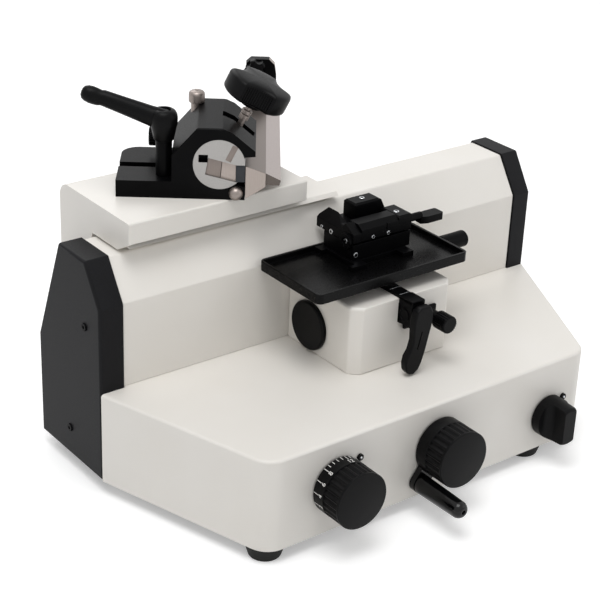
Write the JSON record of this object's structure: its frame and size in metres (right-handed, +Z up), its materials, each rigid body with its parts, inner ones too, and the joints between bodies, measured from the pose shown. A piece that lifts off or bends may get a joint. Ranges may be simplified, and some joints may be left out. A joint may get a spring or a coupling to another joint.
{
  "type": "sledge microtome",
  "caption": "Bench sledge microtome: painted track with end caps, sliding knife holder on a sledge, specimen clamp and tray on a lift, handwheel with crank, dial and selector.",
  "frame": {"origin": "centre of the whole part's box in X and Y, on the plane that its feet stand on", "axes": "+X along the track to the right as seen from the knobs, +Y to the back, +Z up"},
  "size_m": [0.4324, 0.3394, 0.3044],
  "materials": {
    "white_paint": "satin",
    "cap_plastic": "fine texture",
    "black_aluminium": "black anodised, satin",
    "knob_plastic": "satin",
    "grip_plastic": "gloss",
    "ground_steel": "ground",
    "chrome": "polished",
    "light_aluminium": "bead blasted",
    "iron": "machined",
    "brass": "turned",
    "foot_rubber": "matte"
  },
  "bodies": {
    "frame": {"base_housing": "white_paint", "base_cover": "ground_steel", "feet": "foot_rubber", "track_housing": "white_paint", "left_end_cap": "cap_plastic", "right_end_cap": "cap_plastic", "cap_screws": "chrome", "specimen_housing": "white_paint", "side_plug": "cap_plastic", "rail_bed": "iron", "guide_rails": "ground_steel", "column_guide": "iron", "gear_bracket": "ground_steel", "knob_bushes": "brass", "index_pins": "chrome", "lock_arm": "black_aluminium"},
    "sledge": {"sledge_cover": "white_paint", "sledge_skirt": "white_paint", "sledge_slide": "iron", "bearing_blocks": "ground_steel", "holder_body": "black_aluminium", "clamp_post": "black_aluminium", "tee_nut": "black_aluminium", "locating_pin": "chrome", "front_stop": "chrome"},
    "knife_unit": {"tilt_disc": "light_aluminium", "knife_carrier": "ground_steel", "knife_seat": "black_aluminium", "knife_bar": "ground_steel", "knife": "ground_steel", "end_plate": "ground_steel"},
    "knife_screw": {"clamp_stem": "chrome", "clamp_knob": "knob_plastic"},
    "end_star": {"end_knob": "knob_plastic"},
    "clamping_lever": {"clamp_lever": "knob_plastic"},
    "side_screw": {"side_lock": "knob_plastic"},
    "lift": {"lift_column": "ground_steel", "feed_nut": "brass", "specimen_tray": "black_aluminium", "clamp_foot": "black_aluminium", "clamp_base": "black_aluminium"},
    "tilt_rod": {"tilt_screw": "black_aluminium"},
    "clamp_top": {"clamp_body": "black_aluminium", "clamp_cheek": "black_aluminium", "side_block": "black_aluminium", "clamp_screws": "chrome"},
    "moving_jaw": {"rear_jaw": "black_aluminium"},
    "jaw_lever": {"paddle_lever": "black_aluminium"},
    "wheel": {"handwheel": "knob_plastic", "crank_arm": "knob_plastic", "handwheel_shaft": "ground_steel", "shaft_gear": "brass"},
    "spindle": {"feed_spindle": "ground_steel", "spindle_gear": "brass"},
    "grip": {"crank_grip": "grip_plastic"},
    "dial": {"thickness_dial": "knob_plastic", "dial_shaft": "ground_steel"},
    "selector": {"selector_knob": "knob_plastic"},
    "arm_lever": {"lock_lever": "knob_plastic"},
    "arm_screw": {"arm_knob": "knob_plastic"}
  },
  "joints": [
    {"name": "sledge_travel", "type": "slide", "parent": "frame", "child": "sledge", "axis": [1, 0, 0], "range_m": [-0.006, 0.2]},
    {"name": "knife_tilt", "type": "hinge", "parent": "sledge", "child": "knife_unit", "pos_m": [-0.10383, 0.04404, 0.2407], "axis": [-0.5878, -0.809, 0], "range_deg": [0, 12]},
    {"name": "knife_screw_turn", "type": "hinge", "parent": "knife_unit", "child": "knife_screw", "pos_m": [-0.07964, 0.06849, 0.2407], "axis": [0.3419, -0.2484, 0.9063], "range_deg": [-360, 360]},
    {"name": "end_star_turn", "type": "hinge", "parent": "knife_unit", "child": "end_star", "pos_m": [0.0106, 0.15867, 0.2645], "axis": [-0.5878, -0.809, 0], "range_deg": [-360, 360]},
    {"name": "clamping_lever_swing", "type": "hinge", "parent": "sledge", "child": "clamping_lever", "pos_m": [-0.12867, 0.08063, 0.2263], "axis": [0, 0, 1], "range_deg": [-60, 60]},
    {"name": "side_screw_turn", "type": "hinge", "parent": "sledge", "child": "side_screw", "pos_m": [-0.09813, 0.1116, 0.24], "axis": [-0.809, 0.5878, 0], "range_deg": [-360, 360]},
    {"name": "specimen_lift", "type": "slide", "parent": "frame", "child": "lift", "axis": [0, 0, 1], "range_m": [-0.003, 0.014]},
    {"name": "tilt_rod_turn", "type": "hinge", "parent": "lift", "child": "tilt_rod", "pos_m": [0.0225, -0.00203, 0.149], "axis": [1, 0, 0], "range_deg": [0, 720]},
    {"name": "clamp_tilt", "type": "hinge", "parent": "lift", "child": "clamp_top", "pos_m": [-0.014, -0.00003, 0.1746], "axis": [1, 0, 0], "range_deg": [0, 5]},
    {"name": "jaw_travel", "type": "slide", "parent": "clamp_top", "child": "moving_jaw", "axis": [0, 1, 0], "range_m": [0, 0.004]},
    {"name": "jaw_lever_turn", "type": "hinge", "parent": "clamp_top", "child": "jaw_lever", "pos_m": [0.044, 0.00297, 0.1774], "axis": [1, 0, 0], "range_deg": [0, 60]},
    {"name": "handwheel_turn", "type": "hinge", "parent": "frame", "child": "wheel", "pos_m": [-0.011, -0.11613, 0.051], "axis": [0, -1, 0], "range_deg": [-541, 2521]},
    {"name": "spindle_turn", "type": "hinge", "parent": "frame", "child": "spindle", "pos_m": [0.0055, -0.00503, 0.011], "axis": [0, 0, 1], "range_deg": [-541, 2521]},
    {"name": "grip_spin", "type": "hinge", "parent": "wheel", "child": "grip", "pos_m": [-0.03042, -0.11613, 0.02569], "axis": [0, -1, 0], "continuous": true},
    {"name": "dial_turn", "type": "hinge", "parent": "frame", "child": "dial", "pos_m": [-0.1075, -0.11613, 0.05], "axis": [0, -1, 0], "range_deg": [0, 330]},
    {"name": "selector_turn", "type": "hinge", "parent": "frame", "child": "selector", "pos_m": [0.1045, -0.11613, 0.04], "axis": [0, -1, 0], "range_deg": [-60, 60]},
    {"name": "arm_lever_swing", "type": "hinge", "parent": "frame", "child": "arm_lever", "pos_m": [0.0037, -0.05023, 0.1334], "axis": [0, -1, 0], "range_deg": [-35, 30]},
    {"name": "arm_screw_turn", "type": "hinge", "parent": "frame", "child": "arm_screw", "pos_m": [0.029, -0.05023, 0.1226], "axis": [0, -1, 0], "range_deg": [-360, 360]}
  ],
  "couplings": [
    {"joint": "handwheel_turn", "follows": "specimen_lift", "rad_per_m": 3141.6},
    {"joint": "spindle_turn", "follows": "specimen_lift", "rad_per_m": 3141.6},
    {"joint": "clamp_tilt", "follows": "tilt_rod_turn", "ratio": 0.006943},
    {"joint": "jaw_lever_turn", "follows": "jaw_travel", "rad_per_m": 261.8}
  ]
}
